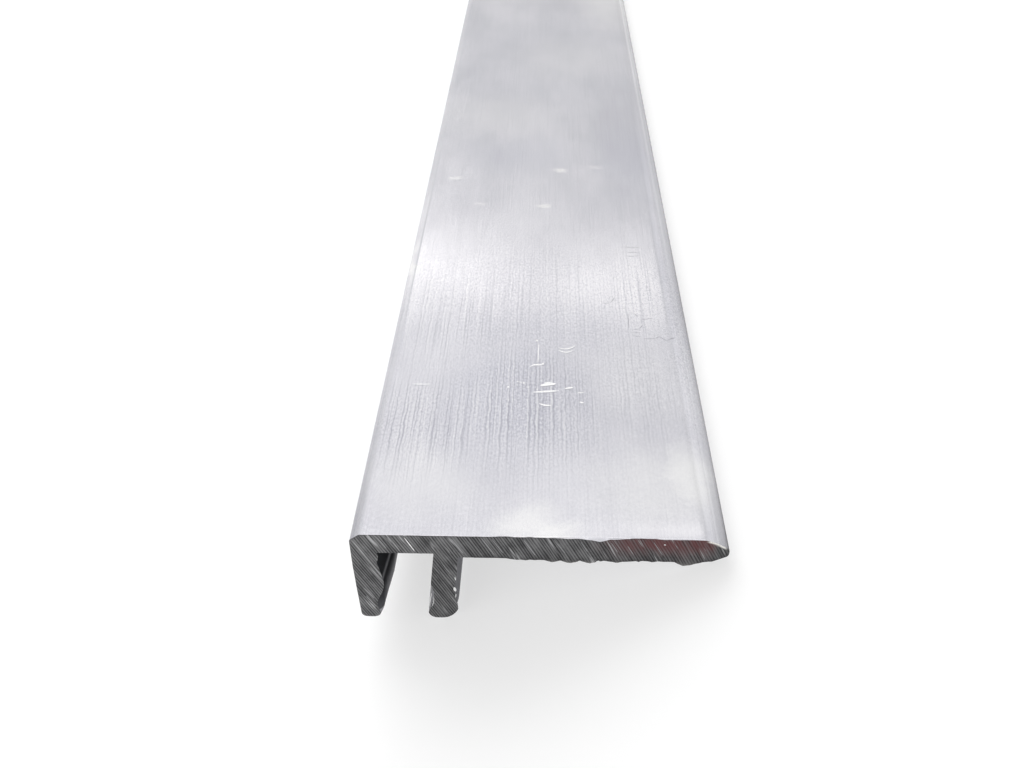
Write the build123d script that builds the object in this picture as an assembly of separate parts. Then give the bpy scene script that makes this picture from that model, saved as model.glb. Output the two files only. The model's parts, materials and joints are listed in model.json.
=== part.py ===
from build123d import *
import math
import os

# Aluminium edge profile: one sawn length of extruded stock, in millimetres.
# A broad flange carries a lip along one edge and a rib beside it, with a channel between the two.
# The section is drawn in X and Z, with the lip's outer face at x = 0 and the broad face at z = 0.

# Stock
profile_length = 1000.0

# Overall section
profile_width = 40.0
profile_height = 13.0

# Walls
flange_thickness = 3.2  # from the rib out to the free edge
roof_thickness = 2.7  # over the channel
lip_thickness = 2.75
rib_thickness = 2.55  # at the rib's root
rib_inner_lean = 1.2  # how far the rib's channel side leans towards the lip at its tip
rib_outer_lean = 0.75  # and how far its other side does
channel_width = 6.1  # at the roof, between lip and rib

# Chamfer over the lip
chamfer_run = 1.15
chamfer_drop = 0.85
chamfer_radius = 0.4

# Nose: the free edge, bevelled above and below
nose_top_run = 2.1
nose_top_drop = 1.3
nose_low_run = 1.7
nose_low_rise = 0.9
shoulder_radius = 2.5  # where the broad face turns into the upper bevel
nose_radius = 0.6
heel_radius = 0.4  # where the lower bevel turns into the flange's underside

# Tips and roots of the two legs
lip_outer_radius = 0.7
lip_inner_radius = 1.2
rib_inner_radius = 1.0
rib_outer_radius = 1.4
root_radius = 0.3

# An arc takes at most this share of the shorter wall beside it
wall_share = 0.45

rib_inner = lip_thickness + channel_width
rib_outer = rib_inner + rib_thickness

# The section's corners in order, each with its place (x, z) and its radius
corners = {
    "chamfer_top": ((chamfer_run, 0), chamfer_radius),
    "shoulder": ((profile_width - nose_top_run, 0), shoulder_radius),
    "nose_top": ((profile_width, -nose_top_drop), nose_radius),
    "nose_low": ((profile_width, nose_low_rise - flange_thickness), nose_radius),
    "heel": ((profile_width - nose_low_run, -flange_thickness), heel_radius),
    "rib_root_outer": ((rib_outer, -flange_thickness), root_radius),
    "rib_tip_outer": ((rib_outer - rib_outer_lean, -profile_height), rib_outer_radius),
    "rib_tip_inner": ((rib_inner - rib_inner_lean, -profile_height), rib_inner_radius),
    "rib_root_inner": ((rib_inner, -roof_thickness), root_radius),
    "lip_root": ((lip_thickness, -roof_thickness), root_radius),
    "lip_tip_inner": ((lip_thickness, -profile_height), lip_inner_radius),
    "lip_tip_outer": ((0, -profile_height), lip_outer_radius),
    "chamfer_low": ((0, -chamfer_drop), chamfer_radius),
}
corner_names = list(corners)


def corner_arc(name):
    """The centre and the radius of a corner's arc, once the walls beside it have limited it."""
    place, radius = corners[name]
    here = corner_names.index(name)
    corner = Vector(*place)
    before = Vector(*corners[corner_names[here - 1]][0]) - corner
    after = Vector(*corners[corner_names[(here + 1) % len(corners)]][0]) - corner
    half_angle = math.radians(before.get_angle(after)) / 2
    room = wall_share * min(before.length, after.length)
    radius = min(radius, room * math.tan(half_angle))
    inwards = (before.normalized() + after.normalized()).normalized()
    return corner + inwards * (radius / math.sin(half_angle)), radius


def floor_angle(first, second):
    """The slope, in degrees, of a floor that touches two of the section's corners from below."""
    first_centre, first_radius = corner_arc(first)
    second_centre, second_radius = corner_arc(second)
    between = second_centre - first_centre
    slope = math.atan2(between.Y, between.X)
    return math.degrees(slope + math.asin((first_radius - second_radius) / between.length))


def make_bar():
    """The section carried along Y, half the length each way."""
    with BuildPart() as bar:
        with BuildSketch(Plane.XZ):
            with BuildLine():
                FilletPolyline(
                    *[place for place, _ in corners.values()],
                    radius=[corner_arc(name)[1] for name in corners],
                    close=True,
                )
            make_face()
        extrude(amount=profile_length / 2, both=True)
    return bar.part


# The weight lies outboard of the rib, so the bar tips over it until the nose meets the floor
rest_tilt = min(floor_angle("rib_tip_outer", corner) for corner in ("heel", "nose_low"))

lying = Rot(0, rest_tilt, 0) * make_bar()
box = lying.bounding_box()
profile = Pos(-box.center().X, 0, -box.min.Z) * lying

os.makedirs("parts", exist_ok=True)
export_step(profile, "parts/aluminium_profile.step")
print(f"tilt {rest_tilt:.3f} degrees, volume {profile.volume:.0f} mm3, box {profile.bounding_box()}")
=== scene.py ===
import json
import math
import bpy
import numpy as np
from mathutils import Matrix


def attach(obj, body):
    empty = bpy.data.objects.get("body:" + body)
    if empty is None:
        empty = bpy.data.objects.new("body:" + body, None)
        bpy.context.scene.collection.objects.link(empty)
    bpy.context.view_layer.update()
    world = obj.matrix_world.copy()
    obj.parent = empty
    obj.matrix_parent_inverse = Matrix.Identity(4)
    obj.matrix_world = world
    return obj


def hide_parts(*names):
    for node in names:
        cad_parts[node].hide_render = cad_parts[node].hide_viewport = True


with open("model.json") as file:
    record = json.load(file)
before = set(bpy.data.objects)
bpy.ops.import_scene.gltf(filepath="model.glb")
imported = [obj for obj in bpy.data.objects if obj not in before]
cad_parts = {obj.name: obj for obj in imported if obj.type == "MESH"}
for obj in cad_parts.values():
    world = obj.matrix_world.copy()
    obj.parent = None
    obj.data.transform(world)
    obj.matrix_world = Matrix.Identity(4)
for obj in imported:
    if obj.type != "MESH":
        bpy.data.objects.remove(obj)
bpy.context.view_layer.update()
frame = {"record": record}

mm = 0.001

# The section as the solid has it, in millimetres: lip's outer face at x = 0, broad face at z = 0, and y
# counted along the bar from the sawn end that faces the camera. Only the shoulder and the chamfer's top are
# rounder here.
profile = dict(
    length=1000.0, width=40.0, height=13.0, flange=3.2, roof=2.7,
    lip=2.75, channel=6.1, rib=2.55, ribInnerLean=1.2, ribOuterLean=0.75,
    chamferRun=1.15, chamferDrop=0.85, chamferTopRound=0.55, chamferLowRound=0.4,
    noseTopRun=2.1, noseTopDrop=1.3, noseLowRun=1.7, noseLowRise=0.9,
    shoulderRound=3.8, noseRound=0.6, heelRound=0.4,
    lipOuterRound=0.7, lipInnerRound=1.2, ribInnerRound=1.0, ribOuterRound=1.4,
)
ribInner = profile["lip"] + profile["channel"]
ribOuter = ribInner + profile["rib"]

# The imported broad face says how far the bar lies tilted, and where.
broadFace = next(m for m in frame["record"]["mounts"] if m["name"] == "broad_face")
tilt = math.atan2(broadFace["axis"][0], broadFace["axis"][2])
turn = np.array([[math.cos(tilt), 0, math.sin(tilt)], [0, 1, 0], [-math.sin(tilt), 0, math.cos(tilt)]])
faceMiddle = np.array([profile["width"] / 2, profile["length"] / 2, 0])
sectionOrigin = np.array(broadFace["pos_m"]) - turn @ faceMiddle * mm


def toRow(points):
    # section millimetres to row metres: scaled, turned by the rest tilt, shifted
    return np.asarray(points) * mm @ turn.T + sectionOrigin


def roundedCorners(places, rounds, steps):
    # each corner of a closed polygon as an arc: its ends lie r / tan(half angle) from the corner, its
    # centre r / sin(half angle) along the bisector, and its points turn one end radius into the other
    corner = np.array(places, float)
    radius = np.array(rounds, float)[:, None]
    before = np.roll(corner, 1, axis=0) - corner
    after = np.roll(corner, -1, axis=0) - corner
    before /= np.linalg.norm(before, axis=1, keepdims=True)
    after /= np.linalg.norm(after, axis=1, keepdims=True)
    half = np.arccos((before * after).sum(1, keepdims=True)) / 2
    inwards = (before + after) / np.linalg.norm(before + after, axis=1, keepdims=True)
    centre = corner + inwards * radius / np.sin(half)
    first = corner + before * radius / np.tan(half) - centre
    last = corner + after * radius / np.tan(half) - centre
    sweep = (math.pi - 2 * half)[:, :, None]
    share = np.linspace(0, 1, steps)[None, :, None]
    arc = np.sin((1 - share) * sweep) * first[:, None] + np.sin(share * sweep) * last[:, None]
    return centre[:, None] + arc / np.sin(sweep)


def evenly(line, count, fromX=None, toX=None):
    # count points at even lengths along a polyline, or along its stretch between two x values
    run = np.concatenate([[0], np.cumsum(np.linalg.norm(np.diff(line, axis=0), axis=1))])
    start = 0 if fromX is None else np.interp(fromX, line[:, 0], run)
    stop = run[-1] if toX is None else np.interp(toX, line[:, 0], run)
    at = np.linspace(start, stop, count)
    return np.stack([np.interp(at, run, line[:, 0]), np.interp(at, run, line[:, 1])], axis=1)


def between(first, last, shares):
    # straight rows of points from each point of one line to its partner on another
    return first[:, None] + (last - first)[:, None] * shares[None, :, None]


def wander(at, pitch, seed, power=1.0, stepRange=(0.4, 1.6), spareKnots=4):
    # a random level from 0 to 1 along a coordinate: knots at uneven steps round the pitch, straight between
    rng = np.random.default_rng(seed)
    low, high = float(np.min(at)), float(np.max(at))
    steps = rng.uniform(*stepRange, int((high - low) / pitch) + spareKnots) * pitch
    knots = low + np.cumsum(steps) - pitch
    return np.interp(at, knots, rng.random(len(knots)) ** power)


def bump(at, middle, reach):
    # a bell: 1 at the middle, about a third of that one reach away
    return np.exp(-((at - middle) / reach) ** 2)


def ramp(at, start, stop):
    # a smooth step from 0 at start to 1 at stop
    t = np.clip((at - start) / (stop - start), 0, 1)
    return t * t * (3 - 2 * t)


# Mesh density: points to a corner's arc, columns along the section's walls, rows through them, stations
# along the bar in millimetres from an end, and how far apart the stations are between
density = dict(
    arcSteps=9, lipColumns=28, channelColumns=56, ribColumns=26, flangeColumns=290, flangeRows=18, legRows=62,
    nearEnd=(0.05, 0.1, 0.16, 0.22, 0.3, 0.42, 0.6, 0.85, 1.2, 1.8, 3.0, 6.0, 12.0, 20.0), stretch=28.0,
)


def sectionGrid():
    # the sawn face as three grids: the flange between its top and bottom lines, and the lip and the rib
    # from the flange down to their rounded tips; the sides are the stretches of the outline, clockwise from
    # the chamfer
    p, n = profile, density
    corners = dict(
        chamferTop=((p["chamferRun"], 0), p["chamferTopRound"]),
        shoulder=((p["width"] - p["noseTopRun"], 0), p["shoulderRound"]),
        noseTop=((p["width"], -p["noseTopDrop"]), p["noseRound"]),
        noseLow=((p["width"], p["noseLowRise"] - p["flange"]), p["noseRound"]),
        heel=((p["width"] - p["noseLowRun"], -p["flange"]), p["heelRound"]),
        ribRootOuter=((ribOuter, -p["flange"]), 0),
        ribTipOuter=((ribOuter - p["ribOuterLean"], -p["height"]), p["ribOuterRound"]),
        ribTipInner=((ribInner - p["ribInnerLean"], -p["height"]), p["ribInnerRound"]),
        ribRootInner=((ribInner, -p["roof"]), 0),
        lipRoot=((p["lip"], -p["roof"]), 0),
        lipTipInner=((p["lip"], -p["height"]), p["lipInnerRound"]),
        lipTipOuter=((0, -p["height"]), p["lipOuterRound"]),
        chamferLow=((0, -p["chamferDrop"]), p["chamferLowRound"]),
    )
    places, rounds = zip(*corners.values())
    arcs = dict(zip(corners, roundedCorners(places, rounds, n["arcSteps"])))
    topLine = np.concatenate([arcs[k] for k in ("chamferLow", "chamferTop", "shoulder", "noseTop")])
    underLine = np.concatenate([arcs[k] for k in ("noseLow", "heel", "ribRootOuter")])[::-1]
    ribTipLine = np.concatenate([arcs[k] for k in ("ribTipOuter", "ribTipInner")])[::-1]
    lipTipLine = np.concatenate([arcs[k] for k in ("lipTipInner", "lipTipOuter")])[::-1]

    counts = [n[k] for k in ("lipColumns", "channelColumns", "ribColumns", "flangeColumns")]
    cuts = [0, p["lip"], ribInner, ribOuter, p["width"]]
    stretches = [evenly(topLine, c + 1, a, b)[:-1] for c, a, b in zip(counts, cuts, cuts[1:])]
    top = np.concatenate(stretches + [topLine[-1:]])
    lipAt, ribAt, outerAt = np.cumsum(counts)[:3]
    overRib = slice(ribAt, outerAt)
    bottom = top.copy()
    bottom[:ribAt, 1] = -p["roof"]
    bottom[overRib, 1] = np.interp(top[overRib, 0], [ribInner, ribOuter], [-p["roof"], -p["flange"]])
    bottom[outerAt:] = evenly(underLine, n["flangeColumns"] + 1)

    through = np.linspace(0, 1, n["flangeRows"] + 1)
    down = np.linspace(0, 1, n["legRows"] + 1)
    flange = between(bottom, top, through)
    lip = between(flange[:lipAt + 1, 0], evenly(lipTipLine, lipAt + 1), down)
    rib = between(flange[ribAt:outerAt + 1, 0], evenly(ribTipLine, outerAt - ribAt + 1), down)

    flangeId = np.arange(flange.shape[0] * flange.shape[1]).reshape(flange.shape[:2])
    lipId = flangeId.size + np.arange(lip.shape[0] * n["legRows"]).reshape(lip.shape[0], -1)
    lipId = np.concatenate([flangeId[:lipAt + 1, :1], lipId], axis=1)
    ribId = lipId.max() + 1 + np.arange(rib.shape[0] * n["legRows"]).reshape(rib.shape[0], -1)
    ribId = np.concatenate([flangeId[ribAt:outerAt + 1, :1], ribId], axis=1)
    points = np.concatenate([grid.reshape(-1, 2) for grid in (flange, lip[:, 1:], rib[:, 1:])])

    sides = dict(
        broad=flangeId[:, -1], nose=flangeId[-1, -2::-1], under=flangeId[outerAt:-1, 0][::-1],
        ribOuter=ribId[-1, 1:], ribTip=ribId[-2::-1, -1], ribInner=ribId[0, -2:0:-1],
        roof=flangeId[lipAt:ribAt + 1, 0][::-1], lipInner=lipId[-1, 1:], lipTip=lipId[-2::-1, -1],
        lipOuter=np.concatenate([lipId[0, -2:0:-1], flangeId[0, :-1]]),
    )
    return points, dict(flange=flangeId, lip=lipId, rib=ribId), sides


gridPoints, gridIds, sideIds = sectionGrid()
ring = np.concatenate(list(sideIds.values()))
print("section grid of", len(gridPoints), "points,", len(ring), "round the outline")

# What the saw left on the two ends: blade marks, burrs pushed out where the blade left the metal, chips and
# tears. Each edge is a row of (place along it, push) in millimetres: topEdge pushes down, the others
# outwards.
frontCut = dict(
    markLean=math.radians(63), bladeRadius=160.0, markPitch=0.32, markDepth=0.03, markPower=1.6, markSeed=11,
    reach=0.85, topReach=0.13, topFade=4, chipDepth=0.12, underFade=2.5, burrForward=0.2, legFade=3,
    topEdge=((15.0, 0), (16.5, -0.08), (17.5, 0), (19.0, -0.05), (20.5, 0.02), (22.5, 0.08), (24.5, 0.13),
             (25.6, 0.32), (26.4, 0.56), (26.9, 0.38), (27.5, 0.15), (28.5, 0.08), (29.5, -0.04),
             (31.5, -0.1), (33.5, 0.03), (35.5, 0.05), (36.5, 0.02), (37.6, 0)),
    underEdge=((11.8, 0), (16.6, 0), (17.5, 0.16), (18.6, 0.15), (19.5, 0.08), (20.6, 0.12), (21.5, 0.4),
               (22.3, 0.15), (23.5, 0.46), (24.4, 0.12), (25.5, 0.48), (26.4, 0.06), (28.5, 0.26),
               (30.2, 0.06), (34.4, 0.1), (35.3, 0.5), (36.4, 0.34), (37.3, 0.12), (38.0, 0)),
    lipOuter=((5.0, 0), (9.0, -0.1), (13.0, -0.25)),
    lipInner=((2.7, 0), (3.1, 0.16), (3.8, 0.05), (4.2, -0.12), (5.0, 0.05), (6.0, 0.22), (7.3, 0.4),
              (8.0, 0.38), (9.0, 0.08), (9.8, -0.3), (10.6, -0.62), (11.6, -0.66), (12.2, -0.45),
              (12.8, -0.1), (13.0, 0)),
    ribInner=((7.4, 0), (8.3, -0.25), (9.0, -0.45), (10.2, -0.35), (11.3, -0.2), (12.2, 0)),
    ribOuter=((6.6, 0), (7.9, -0.2), (8.6, -0.12), (9.8, 0.1), (10.6, 0.28), (11.4, 0.38), (12.4, 0.15),
              (13.0, 0)),
    roughPitch=0.4, roughPower=2.0, roughFrom=(16.0, 19.0),
    topRough=0.06, topRoughTo=(37.0, 37.8), topSeed=14,
    underRough=0.15, underRoughTo=(36.4, 37.6), underSeed=15,
    paint=1.0,
)
backCut = dict(
    frontCut, markSeed=29, topSeed=32, underSeed=33, paint=0.0,
    topEdge=((4.0, 0), (7.5, 0.12), (9.0, 0), (19.0, 0), (20.6, 0.3), (21.6, 0.05), (32.0, 0), (33.2, 0.22),
             (34.6, 0)),
    underEdge=((12.0, 0), (15.5, 0.1), (17.4, 0.34), (18.5, 0.1), (24.0, 0.2), (26.0, 0.05), (31.2, 0.36),
               (32.4, 0.1), (36.5, 0.14), (37.8, 0)),
    lipInner=((3.0, 0), (6.0, 0.1), (8.4, 0.3), (9.6, 0.05), (11.8, -0.4), (13.0, -0.2)),
    ribInner=((8.0, 0), (10.4, -0.2), (12.0, 0)),
    ribOuter=((4.5, 0), (6.2, 0.14), (8.0, 0)),
)


def edgePush(at, edge):
    # straight runs between an edge's pairs, none before them and the last push after them
    place, push = np.array(edge).T
    return np.interp(at, place, push, left=0, right=push[-1])


def tornEdge(at, cut, edge):
    # an edge's own pushes and, past the clean stretch by the rib, a fine wandering tear up to the nose
    rough = cut[edge + "Rough"] * ramp(at, *cut["roughFrom"]) * (1 - ramp(at, *cut[edge + "RoughTo"]))
    tear = wander(at, cut["roughPitch"], cut[edge + "Seed"], cut["roughPower"])
    return edgePush(at, cut[edge + "Edge"]) + rough * tear


def sawnFace(cut):
    # how the saw moved each point of the face, as (x, y into the bar, z), and the burr along the underside:
    # depth follows the distance from the blade's centre, edges move by their own pushes, fading inwards
    x, z = gridPoints.T
    centreX = profile["width"] / 2 - cut["bladeRadius"] * math.sin(cut["markLean"])
    across = np.hypot(x - centreX, z + cut["bladeRadius"] * math.cos(cut["markLean"]))
    move = np.zeros((len(x), 3))
    marks = wander(across, cut["markPitch"], cut["markSeed"], cut["markPower"])
    move[:, 1] = cut["markDepth"] * (1 - marks)

    flangeId = gridIds["flange"]
    through = np.linspace(0, 1, flangeId.shape[1])[None]
    chips = tornEdge(x[flangeId[:, -1]], cut, "top")
    fade = through ** cut["topFade"]
    move[flangeId, 1] += np.abs(chips)[:, None] * fade * cut["chipDepth"]
    move[flangeId, 2] -= chips[:, None] * fade
    burr = tornEdge(x[flangeId[:, 0]], cut, "under")
    fade = (1 - through) ** cut["underFade"]
    move[flangeId, 2] -= burr[:, None] * fade
    move[flangeId, 1] -= burr[:, None] * fade * cut["burrForward"]

    for leg, left, right in (("lip", "lipOuter", "lipInner"), ("rib", "ribInner", "ribOuter")):
        legId = gridIds[leg]
        down = -z[legId]
        share = np.linspace(0, 1, legId.shape[0])[:, None]
        move[legId, 0] += edgePush(down, cut[right]) * share ** cut["legFade"]
        move[legId, 0] -= edgePush(down, cut[left]) * (1 - share) ** cut["legFade"]
    return move, burr


# Where a sawn face is stained, has bright flecks and a painted highlight, and has painted shade, in section
# millimetres: each pair is where a smooth step starts and stops, across the face for From, To and Nose, by
# height for Depth, down from the top edge for Down, up from the bottom one for Up. fleckUp is a share of the
# flange, fleckBurr the push of a burr.
faceMarks = dict(
    stainFrom=(24.5, 31.0), stainTo=(37.8, 39.0), stainDepth=(-3.0, -0.7), stainLeast=0.04, stainRise=0.9,
    fleckBurr=(0.2, 0.4), fleckUp=(0.0, 0.1), fleckShare=0.15,
    crestFrom=(37.4, 38.0), crestTo=(39.4, 39.8), crestDown=(0.16, 0.36),
    rimDown=(0.04, 0.2), rimUp=(0.1, 0.5), rimFrom=(ribOuter, 14.0), rimNose=(38.0, 39.4),
    lowShade=0.35, lowShadeUp=(0.6, 1.3), lowShadeFrom=(26.0, 30.0),
)


def faceShades(cut, burr):
    # the stain fades in from the left and down the face, bright flecks lie on the burrs and a painted
    # highlight along the crest of the bevel, and painted shade darkens the rim along the top and bottom edges
    # and round the nose
    m = faceMarks
    x, z = gridPoints.T
    flangeId = gridIds["flange"]
    through = np.linspace(0, 1, flangeId.shape[1])[None]
    topX, bottomX = x[flangeId[:, -1]], x[flangeId[:, 0]]
    depth = (1 - through) * (z[flangeId[:, -1]] - z[flangeId[:, 0]])[:, None]
    low = depth[:, :1] - depth

    stain = ramp(x, *m["stainFrom"]) * (1 - ramp(x, *m["stainTo"]))
    stain = stain * (m["stainLeast"] + m["stainRise"] * ramp(z, *m["stainDepth"]))

    flecksAndHighlight = np.zeros(len(x))
    onBurr = ramp(burr, *m["fleckBurr"])[:, None] * (1 - ramp(through, *m["fleckUp"])) * m["fleckShare"]
    # a painted highlight along the crest of the bevel
    crest = ramp(topX, *m["crestFrom"]) * (1 - ramp(topX, *m["crestTo"])) * cut["paint"]
    flecksAndHighlight[flangeId] = np.maximum(onBurr, crest[:, None] * (1 - ramp(depth, *m["crestDown"])))

    # painted shade along the top and bottom edges and round the nose
    rimShade = np.zeros(len(x))
    alongUnder = (1 - ramp(low, *m["rimUp"])) * ramp(bottomX, *m["rimFrom"])[:, None]
    lowShade = m["lowShade"] * (1 - ramp(low, *m["lowShadeUp"])) * ramp(bottomX, *m["lowShadeFrom"])[:, None]
    rimShade[flangeId] = np.maximum(np.maximum(1 - ramp(depth, *m["rimDown"]), alongUnder), lowShade)
    rimShade = np.maximum(rimShade, ramp(x, *m["rimNose"]))
    return dict(paint=cut["paint"] * stain, flecksAndHighlight=np.clip(flecksAndHighlight, 0, 1), rimShade=rimShade)


# Die lines and the slow unevenness of the drawn faces, in millimetres. The lines fade at the outline's seam
# and short of the free edge, the unevenness at the ends and where the face's normal leans.
drawn = dict(
    linePitch=0.34, lineHeight=0.0022, lineSeed=5, coarsePitch=1.6, coarseHeight=0.003, coarseSeed=6,
    seamFade=1.0, noseFade=(35.5, 37.5), bow=0.05, wave=0.035, waveLength=210.0, waveLean=3.0, endFade=3.0,
    flatNormal=(0.9, 0.99), flatAbove=-1.0,
)


def dieRidges(base):
    # a fine and a coarse wandering height along the outline, none at its seam or on the free edge
    run = np.cumsum(np.linalg.norm(base - np.roll(base, 1, axis=0), axis=1))
    ridges = drawn["lineHeight"] * wander(run, drawn["linePitch"], drawn["lineSeed"])
    ridges += drawn["coarseHeight"] * wander(run, drawn["coarsePitch"], drawn["coarseSeed"])
    ridges *= 1 - bump(run, run[-1], drawn["seamFade"]) - bump(run, run[0], drawn["seamFade"])
    return ridges * (1 - ramp(base[:, 0], *drawn["noseFade"]))


def unevenness(x, y):
    # how far the broad face strays from flat: bowed across, with a slow wave along that leans across it
    across = x / profile["width"] - 0.5
    wave = np.sin(2 * math.pi * y / drawn["waveLength"] + drawn["waveLean"] * across)
    fade = ramp(y, 0.0, drawn["endFade"]) * ramp(profile["length"] - y, 0.0, drawn["endFade"])
    return (drawn["bow"] * (2 * across) ** 2 + drawn["wave"] * wave) * fade


def faceHeight(x, y):
    # the section's top line plus the unevenness, which fades where the line slopes
    lineX, lineZ = gridPoints[sideIds["broad"]].T
    upright = 1 / np.hypot(1, np.gradient(lineZ, lineX))
    flat = ramp(np.interp(x, lineX, upright), *drawn["flatNormal"])
    return np.interp(x, lineX, lineZ) + unevenness(x, y) * flat


# Painted shade on each side, from 0, bright, to 1: out of the light, painted near black and matt
paintedSideShade = dict(
    broad=0.0, nose=0.5, under=0.15, ribOuter=0.8, ribTip=0.3, ribInner=0.7,
    roof=0.88, lipInner=0.985, lipTip=0.7, lipOuter=0.08,
)

# What is added to that painted shade: painted light makes the lip's inner wall lighter low down, more so
# behind the sawn edge, with one pale line of painted light along it; painted shade darkens the bevel
# towards the free edge by one row of (x, shade) near the camera and another far off, more at the sawn end
# and in one stretch along the free edge; painted shade darkens the chamfer towards the sawn end, and the
# chips
paintedShadeExtras = dict(
    lipLow=(8.8, 12.2), lipFade=0.1, lipDeeper=0.16, lipDeeperFrom=(0.3, 4.0),
    lipLine=0.17, lipLineDown=8.1, lipLineWidth=0.4,
    bevelNear=((38.0, 0), (38.4, 0.09), (38.7, 0.21), (38.9, 0.3), (39.15, 0.35), (39.5, 0.38), (39.8, 0.5),
               (39.95, 0.72)),
    bevelFar=((37.3, 0), (38.0, 0.08), (38.4, 0.17), (38.8, 0.325), (39.2, 0.43), (39.6, 0.45),
              (39.8, 0.53), (39.95, 0.8)),
    bevelFarFrom=(34.0, 66.0), bevelFront=0.45, bevelFrontReach=8.0,
    edgeShade=0.17, edgeShadeAcross=(39.1, 39.7), edgeShadeAt=36.0, edgeShadeReach=12.0,
    chamfer=0.32, chamferAcross=(0.2, 1.9), chamferReach=17.0, chipShade=0.12, chipPush=(0.02, 0.12),
)


def paintedShadeRows(base, stations, chips):
    # the sides' painted shade at each station of the bar, with the painted light on the lip's wall and the
    # painted shade that the bevel, the chamfer and the chips add
    d = paintedShadeExtras
    x, down = base[:, 0], -base[:, 1]
    y = np.minimum(stations, profile["length"] - stations)[:, None]
    onTop = np.isin(ring, sideIds["broad"])
    onWall = np.isin(ring, sideIds["lipInner"])
    row = np.concatenate([np.full(len(ids), paintedSideShade[name]) for name, ids in sideIds.items()])
    # painted light: the lip's wall and tip lighter low down, and one pale line along the wall
    lipLow = (onWall | np.isin(ring, sideIds["lipTip"])) * ramp(down, *d["lipLow"])
    row = row - lipLow * (d["lipFade"] + d["lipDeeper"] * ramp(y, *d["lipDeeperFrom"]))
    row = row - d["lipLine"] * onWall * bump(down, d["lipLineDown"], d["lipLineWidth"])
    # painted shade on the bevel towards the free edge and the sawn end, on the chamfer and on the chips
    near, far = (np.interp(x, *np.array(d[k]).T) for k in ("bevelNear", "bevelFar"))
    bevel = near * (1 + d["bevelFront"] * np.exp(-y / d["bevelFrontReach"]))
    bevel = bevel + (far - near) * ramp(y, *d["bevelFarFrom"])
    bevel = bevel + d["edgeShade"] * ramp(x, *d["edgeShadeAcross"]) * bump(y, d["edgeShadeAt"], d["edgeShadeReach"])
    chamfer = d["chamfer"] * (1 - ramp(x, *d["chamferAcross"])) * np.exp(-y / d["chamferReach"])
    torn = d["chipShade"] * ramp(np.abs(chips), *d["chipPush"]) * np.clip(1 - y / frontCut["topReach"], 0, 1)
    return row + onTop * (bevel + chamfer + torn)


# A file took down the sawn edges of the lip's inner side and the rib's outer side, so the walls behind
# stand proud of them: how far, how far along the bar until they do, and how far from a leg's root and the
# rib's tip
filedBack = dict(lip=0.58, lipReach=8.0, rib=0.6, ribReach=1.6, rootFade=0.7, ribTipFade=(11.2, 12.8))


def filedWalls(base, stations):
    # each leg's wall moves along x by its share: the square of the way across the leg, none at the leg's
    # root and, on the rib that carries the bar, none at its tip; it rises smoothly from the sawn end
    f, p = filedBack, profile
    x, down = base[:, 0], -base[:, 1]
    y = np.minimum(stations, p["length"] - stations)[:, None]
    onLip = np.isin(ring, np.concatenate([sideIds["lipInner"], sideIds["lipTip"]]))
    onRib = np.isin(ring, np.concatenate([sideIds["ribOuter"], sideIds["ribTip"]]))
    lip = onLip * np.clip(x / p["lip"], 0, 1) ** 2 * ramp(down, p["roof"], p["roof"] + f["rootFade"])
    rib = onRib * np.clip((x - ribInner) / p["rib"], 0, 1) ** 2
    rib *= ramp(down, p["flange"], p["flange"] + f["rootFade"]) * (1 - ramp(down, *f["ribTipFade"]))
    return f["lip"] * lip * ramp(y, 0, f["lipReach"]) + f["rib"] * rib * ramp(y, 0, f["ribReach"])


def barStations():
    # places along the bar: the given ones at each end, even steps between
    near = np.array(density["nearEnd"])
    steps = int(profile["length"] / density["stretch"])
    middle = np.linspace(near[-1], profile["length"] - near[-1], steps)
    return np.concatenate([near, middle[1:-1], profile["length"] - near[::-1]])


def barWall(base, stations, moves):
    # the outline carried along the bar: a ring at each station, pushed out by the die lines, moved by the
    # filing and the unevenness, and near an end by the saw, fading with the square of the way to its reach
    heading = np.roll(base, -1, axis=0) - np.roll(base, 1, axis=0)
    heading /= np.linalg.norm(heading, axis=1, keepdims=True)
    outwards = np.stack([-heading[:, 1], heading[:, 0]], axis=1)
    ridges = dieRidges(base)
    wall = np.zeros((len(stations), len(ring), 3))
    wall[:, :, 0] = base[:, 0] + outwards[:, 0] * ridges
    wall[:, :, 1] = stations[:, None]
    wall[:, :, 2] = base[:, 1] + outwards[:, 1] * ridges
    wall[:, :, 0] += filedWalls(base, stations)
    flat = ramp(outwards[:, 1], *drawn["flatNormal"]) * (base[:, 1] > drawn["flatAbove"])
    wall[:, :, 2] += unevenness(base[None, :, 0], stations[:, None]) * flat[None]
    reach = np.where(np.isin(ring, sideIds["broad"]), frontCut["topReach"], frontCut["reach"])
    for end, gap in (("front", stations), ("back", profile["length"] - stations)):
        near = np.clip(1 - gap[:, None] / reach, 0, 1) ** 2
        wall += near[:, :, None] * moves[end][ring][None]
    return wall


def quads(ids):
    # a face from each point of a grid to its three neighbours
    return np.stack([ids[:-1, :-1], ids[1:, :-1], ids[1:, 1:], ids[:-1, 1:]], axis=-1).reshape(-1, 4)


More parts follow.
